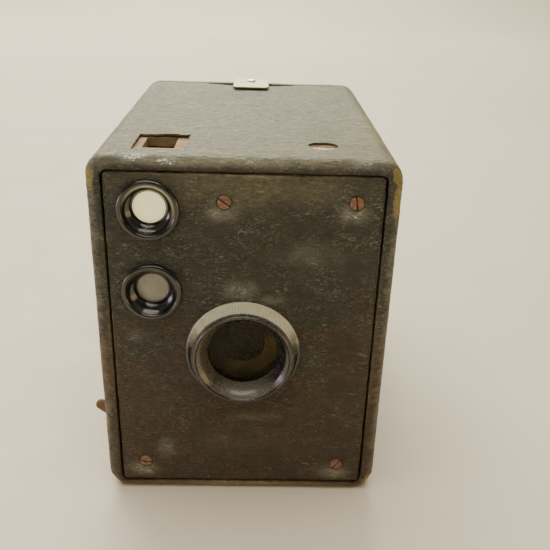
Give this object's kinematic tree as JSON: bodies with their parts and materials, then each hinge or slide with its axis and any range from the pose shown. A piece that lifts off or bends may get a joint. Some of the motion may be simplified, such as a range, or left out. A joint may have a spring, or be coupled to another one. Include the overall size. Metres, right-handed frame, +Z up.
{
  "type": "box camera",
  "caption": "Old leathercloth-covered wooden box camera for 6 x 9 cm roll film, with two reflecting finders, a knurled lens ring, a hinged back with a latch, a shutter lever and a winding key.",
  "frame": {"origin": "middle of the underside of the closed case, on the surface that it stands on", "axes": "+Z up, -Y the way the lens looks, +X to the right for a person facing the lens"},
  "size_m": [0.1, 0.131, 0.1191],
  "materials": {
    "leathercloth": "worn grained leathercloth, dark brown-black",
    "pale_wood": "bare pale wood",
    "black_wood": "wood stained matt black",
    "black_enamel": "glossy black enamel, worn at the edges",
    "black_card": "matt black card",
    "glass": "clear, dusty",
    "ground_glass": "ground",
    "mirror": "silvered, tarnished",
    "nickel": "dull nickel plate",
    "brass": "tarnished",
    "rusty_steel": "rusty",
    "black_steel": "blackened sheet steel",
    "red_celluloid": "deep red, glossy"
  },
  "bodies": {
    "case": {"top_board": "pale_wood", "bottom_board": "pale_wood", "left_board": "pale_wood", "right_board": "pale_wood", "case_covering": "leathercloth", "front_panel": "black_wood", "front_panel_covering": "leathercloth", "panel_screw_1": "rusty_steel", "panel_screw_2": "rusty_steel", "panel_screw_3": "rusty_steel", "panel_screw_4": "rusty_steel", "front_top_rail": "pale_wood", "front_bottom_rail": "pale_wood", "lens_ring": "black_enamel", "lens": "glass", "lens_retaining_ring": "brass", "stop_plate": "black_steel", "upper_finder_bezel": "black_enamel", "lower_finder_bezel": "black_enamel", "upper_finder_lens": "glass", "lower_finder_lens": "glass", "finder_housing": "black_card", "upper_finder_mirror": "mirror", "lower_finder_mirror": "mirror", "side_finder_frame": "brass", "side_finder_glass": "ground_glass", "shutter_board": "black_wood", "shutter_pivot": "brass", "lever_pivot": "brass", "shutter_spring": "rusty_steel", "light_cone": "black_card", "gate_frame": "nickel", "carrier_left_plate": "black_wood", "carrier_right_plate": "black_wood", "take_up_pin": "nickel", "supply_pin_right": "nickel", "supply_pin_left": "nickel", "key_escutcheon": "nickel", "hinge_case_leaf": "brass", "hinge_pin": "brass", "bottom_tripod_socket": "brass", "side_tripod_socket": "brass"},
    "back_door": {"back_board": "black_wood", "back_covering": "leathercloth", "red_window_ring": "brass", "red_window": "red_celluloid", "hinge_door_leaf": "brass", "latch_bracket": "nickel"},
    "latch": {"latch_tongue": "nickel", "latch_rivet": "nickel"},
    "shutter_lever": {"shutter_lever": "rusty_steel"},
    "shutter_disc": {"shutter_disc": "black_steel"},
    "time_slide": {"time_slide": "brass"},
    "upper_roller": {"upper_roller": "nickel"},
    "lower_roller": {"lower_roller": "nickel"},
    "take_up_spool": {"spool_core": "pale_wood", "spool_flange_left": "black_steel", "spool_flange_right": "black_steel"},
    "key_collar": {"key_collar": "nickel"},
    "winding_key": {"winding_key": "nickel"}
  },
  "joints": [
    {"name": "back_door_hinge", "type": "hinge", "parent": "case", "child": "back_door", "pos_m": [0, 0.0614, 0.0019], "axis": [-1, 0, 0], "range_deg": [0, 90]},
    {"name": "latch_lift", "type": "hinge", "parent": "back_door", "child": "latch", "pos_m": [0, 0.0614, 0.1167], "axis": [-1, 0, 0], "range_deg": [0, 25], "stiffness_Nm_per_rad": 0.02, "springref_deg": -11.46},
    {"name": "shutter_lever_turn", "type": "hinge", "parent": "case", "child": "shutter_lever", "pos_m": [-0.034, -0.0502, 0.014], "axis": [0, -1, 0], "range_deg": [0, 45]},
    {"name": "shutter_disc_turn", "type": "hinge", "parent": "case", "child": "shutter_disc", "pos_m": [0, -0.049, 0.0394], "axis": [0, -1, 0], "range_deg": [0, 120]},
    {"name": "time_slide_pull", "type": "slide", "parent": "case", "child": "time_slide", "axis": [0, 0, 1], "range_m": [0, 0.006]},
    {"name": "upper_roller_spin", "type": "hinge", "parent": "case", "child": "upper_roller", "pos_m": [0, 0.0481, 0.1021], "axis": [1, 0, 0], "continuous": true},
    {"name": "lower_roller_spin", "type": "hinge", "parent": "case", "child": "lower_roller", "pos_m": [0, 0.0481, 0.0067], "axis": [1, 0, 0], "continuous": true},
    {"name": "key_turn", "type": "hinge", "parent": "case", "child": "key_collar", "pos_m": [0, 0.0155, 0.0988], "axis": [1, 0, 0], "continuous": true},
    {"name": "take_up_spin", "type": "hinge", "parent": "case", "child": "take_up_spool", "pos_m": [0, 0.0155, 0.0988], "axis": [1, 0, 0], "continuous": true},
    {"name": "key_pull", "type": "slide", "parent": "key_collar", "child": "winding_key", "axis": [-1, 0, 0], "range_m": [0, 0.008]}
  ],
  "couplings": [
    {"joint": "shutter_disc_turn", "follows": "shutter_lever_turn", "ratio": 2.6667},
    {"joint": "key_turn", "follows": "take_up_spin", "ratio": 1}
  ]
}
